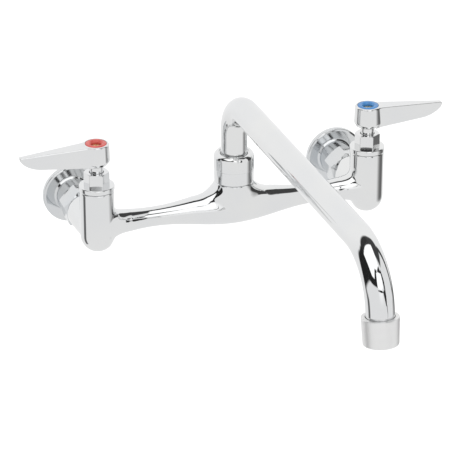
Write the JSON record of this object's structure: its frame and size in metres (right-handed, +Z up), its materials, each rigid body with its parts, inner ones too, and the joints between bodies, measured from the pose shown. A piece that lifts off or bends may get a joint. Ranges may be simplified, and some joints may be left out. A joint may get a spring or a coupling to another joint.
{
  "type": "commercial wall faucet",
  "caption": "Wall-mounted mixing faucet with lever handles, ceramic valves, a swing nozzle and flanged union inlets.",
  "frame": {"origin": "midpoint between the two inlets on the wall plane, which is the back face of both wall flanges", "axes": "+X from the hot (left) to the cold (right) valve, +Y into the wall, +Z up"},
  "size_m": [0.3138, 0.334, 0.1156],
  "materials": {
    "polished_chrome": "mirror-polished chrome plate on brass",
    "satin_chrome": "fine satin chrome",
    "brass": "machined brass",
    "stainless": "plain stainless steel",
    "black_rubber": "matte black rubber",
    "ceramic_disc": "lapped white ceramic",
    "nylon": "moulded natural nylon",
    "red_index": "glossy red plastic",
    "blue_index": "glossy blue plastic"
  },
  "bodies": {
    "faucet": {"faucet_body": "polished_chrome", "hot_wall_inlet": "polished_chrome", "hot_union_tail": "brass", "hot_coupling_nut": "polished_chrome", "hot_inlet_gasket": "black_rubber", "hot_bonnet": "polished_chrome", "hot_bonnet_oring": "black_rubber", "hot_lower_disc": "ceramic_disc", "hot_seat_seal": "black_rubber", "cold_wall_inlet": "polished_chrome", "cold_union_tail": "brass", "cold_coupling_nut": "polished_chrome", "cold_inlet_gasket": "black_rubber", "cold_bonnet": "polished_chrome", "cold_bonnet_oring": "black_rubber", "cold_lower_disc": "ceramic_disc", "cold_seat_seal": "black_rubber", "nozzle_nut": "polished_chrome", "nozzle_slip_washer": "nylon"},
    "hot_handle": {"hot_valve_stem": "polished_chrome", "hot_stem_oring": "black_rubber", "hot_upper_disc": "ceramic_disc", "hot_lever_handle": "polished_chrome", "hot_index_disc": "red_index", "hot_handle_screw": "brass"},
    "cold_handle": {"cold_valve_stem": "polished_chrome", "cold_stem_oring": "black_rubber", "cold_upper_disc": "ceramic_disc", "cold_lever_handle": "polished_chrome", "cold_index_disc": "blue_index", "cold_handle_screw": "brass"},
    "nozzle": {"nozzle_tube": "polished_chrome", "nozzle_sleeve": "brass", "nozzle_lower_oring": "black_rubber", "nozzle_upper_oring": "black_rubber", "nozzle_retaining_ring": "stainless", "outlet_housing": "satin_chrome", "outlet_washer": "black_rubber", "outlet_flow_disc": "nylon", "outlet_screen": "stainless"}
  },
  "joints": [
    {"name": "hot_handle_turn", "type": "hinge", "parent": "faucet", "child": "hot_handle", "pos_m": [-0.1016, -0.0665, 0.05], "axis": [0, 0, 1], "range_deg": [0, 90]},
    {"name": "cold_handle_turn", "type": "hinge", "parent": "faucet", "child": "cold_handle", "pos_m": [0.1016, -0.0665, 0.05], "axis": [0, 0, 1], "range_deg": [-90, 0]},
    {"name": "nozzle_swing", "type": "hinge", "parent": "faucet", "child": "nozzle", "pos_m": [0, -0.0665, 0.035], "axis": [0, 0, 1], "range_deg": [-92.2, 87.8]}
  ]
}
